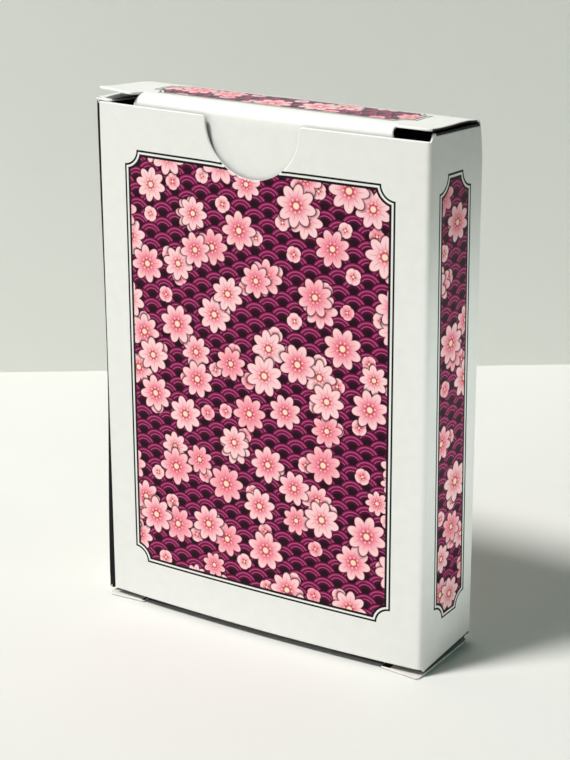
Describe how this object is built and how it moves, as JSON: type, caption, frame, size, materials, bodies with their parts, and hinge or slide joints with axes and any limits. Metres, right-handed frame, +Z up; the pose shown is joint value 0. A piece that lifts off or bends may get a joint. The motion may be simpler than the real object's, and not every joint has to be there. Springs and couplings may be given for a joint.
{
  "type": "playing card deck",
  "caption": "Deck of playing cards in an upright printed tuck case with a thumb notch, hinged lid with tuck tongue, dust flaps and a tucked bottom end.",
  "frame": {"origin": "under the middle of the case, on the surface it stands on", "axes": "+Z up along the standing case, +X to the right seen from the front, +Y from the front panel to the back panel"},
  "size_m": [0.0648, 0.0171, 0.0947],
  "materials": {
    "printed_board": "satin",
    "plain_board": "satin",
    "dark_board": "satin",
    "card_stock": "satin"
  },
  "bodies": {
    "case": {"front_panel": "printed_board", "back_panel": "printed_board", "left_side_panel": "printed_board", "right_side_panel": "printed_board", "glue_flap": "dark_board"},
    "deck": {"joker_pair": "card_stock", "spades_ace": "card_stock", "spades_02": "card_stock", "spades_03": "card_stock", "spades_04": "card_stock", "spades_05": "card_stock", "spades_06": "card_stock", "spades_07": "card_stock", "spades_08": "card_stock", "spades_09": "card_stock", "spades_10": "card_stock", "spades_court_cards": "card_stock", "hearts_ace": "card_stock", "hearts_02": "card_stock", "hearts_03": "card_stock", "hearts_04": "card_stock", "hearts_05": "card_stock", "hearts_06": "card_stock", "hearts_07": "card_stock", "hearts_08": "card_stock", "hearts_09": "card_stock", "hearts_10": "card_stock", "hearts_court_cards": "card_stock", "clubs_ace": "card_stock", "clubs_02": "card_stock", "clubs_03": "card_stock", "clubs_04": "card_stock", "clubs_05": "card_stock", "clubs_06": "card_stock", "clubs_07": "card_stock", "clubs_08": "card_stock", "clubs_09": "card_stock", "clubs_10": "card_stock", "clubs_court_cards": "card_stock", "diamonds_ace": "card_stock", "diamonds_02": "card_stock", "diamonds_03": "card_stock", "diamonds_04": "card_stock", "diamonds_05": "card_stock", "diamonds_06": "card_stock", "diamonds_07": "card_stock", "diamonds_08": "card_stock", "diamonds_09": "card_stock", "diamonds_10": "card_stock", "diamonds_court_cards": "card_stock"},
    "lid": {"lid_panel": "printed_board"},
    "lid_tongue": {"lid_tongue": "plain_board"},
    "top_left_flap": {"top_left_dust_flap": "dark_board"},
    "top_right_flap": {"top_right_dust_flap": "dark_board"},
    "bottom": {"bottom_panel": "printed_board"},
    "bottom_tongue": {"bottom_tongue": "dark_board"},
    "bottom_left_flap": {"bottom_left_dust_flap": "dark_board"},
    "bottom_right_flap": {"bottom_right_dust_flap": "dark_board"}
  },
  "joints": [
    {"name": "lid_hinge", "type": "hinge", "parent": "case", "child": "lid", "pos_m": [0, 0.00855, 0.09305], "axis": [-1, 0, 0], "range_deg": [0, 172], "deforming": ["lid_tongue"]},
    {"name": "lid_tongue_crease", "type": "hinge", "parent": "lid", "child": "lid_tongue", "pos_m": [0, -0.0054, 0.09442], "axis": [-1, 0, 0], "range_deg": [0, 26]},
    {"name": "top_left_flap_crease", "type": "hinge", "parent": "case", "child": "top_left_flap", "pos_m": [-0.0324, 0, 0.09255], "axis": [0, -1, 0], "range_deg": [0, 78]},
    {"name": "top_right_flap_crease", "type": "hinge", "parent": "case", "child": "top_right_flap", "pos_m": [0.0324, 0, 0.09255], "axis": [0, 1, 0], "range_deg": [0, 78]},
    {"name": "bottom_hinge", "type": "hinge", "parent": "case", "child": "bottom", "pos_m": [0, 0.00855, 0], "axis": [1, 0, 0], "range_deg": [0, 172], "deforming": ["bottom_tongue"]},
    {"name": "bottom_tongue_crease", "type": "hinge", "parent": "bottom", "child": "bottom_tongue", "pos_m": [0, -0.007, 0], "axis": [1, 0, 0], "range_deg": [0, 26]},
    {"name": "bottom_left_flap_crease", "type": "hinge", "parent": "case", "child": "bottom_left_flap", "pos_m": [-0.0324, 0, 0.00115], "axis": [0, 1, 0], "range_deg": [0, 78]},
    {"name": "bottom_right_flap_crease", "type": "hinge", "parent": "case", "child": "bottom_right_flap", "pos_m": [0.0324, 0, 0.00115], "axis": [0, -1, 0], "range_deg": [0, 78]},
    {"name": "deck_slide", "type": "slide", "parent": "case", "child": "deck", "axis": [0, 0, 1], "range_m": [0, 0.0015]}
  ],
  "couplings": [
    {"joint": "lid_tongue_crease", "follows": "lid_hinge", "ratio": 0.15},
    {"joint": "top_left_flap_crease", "follows": "lid_hinge", "ratio": 0.45},
    {"joint": "top_right_flap_crease", "follows": "lid_hinge", "ratio": 0.45},
    {"joint": "bottom_tongue_crease", "follows": "bottom_hinge", "ratio": 0.15},
    {"joint": "bottom_left_flap_crease", "follows": "bottom_hinge", "ratio": 0.45},
    {"joint": "bottom_right_flap_crease", "follows": "bottom_hinge", "ratio": 0.45}
  ]
}
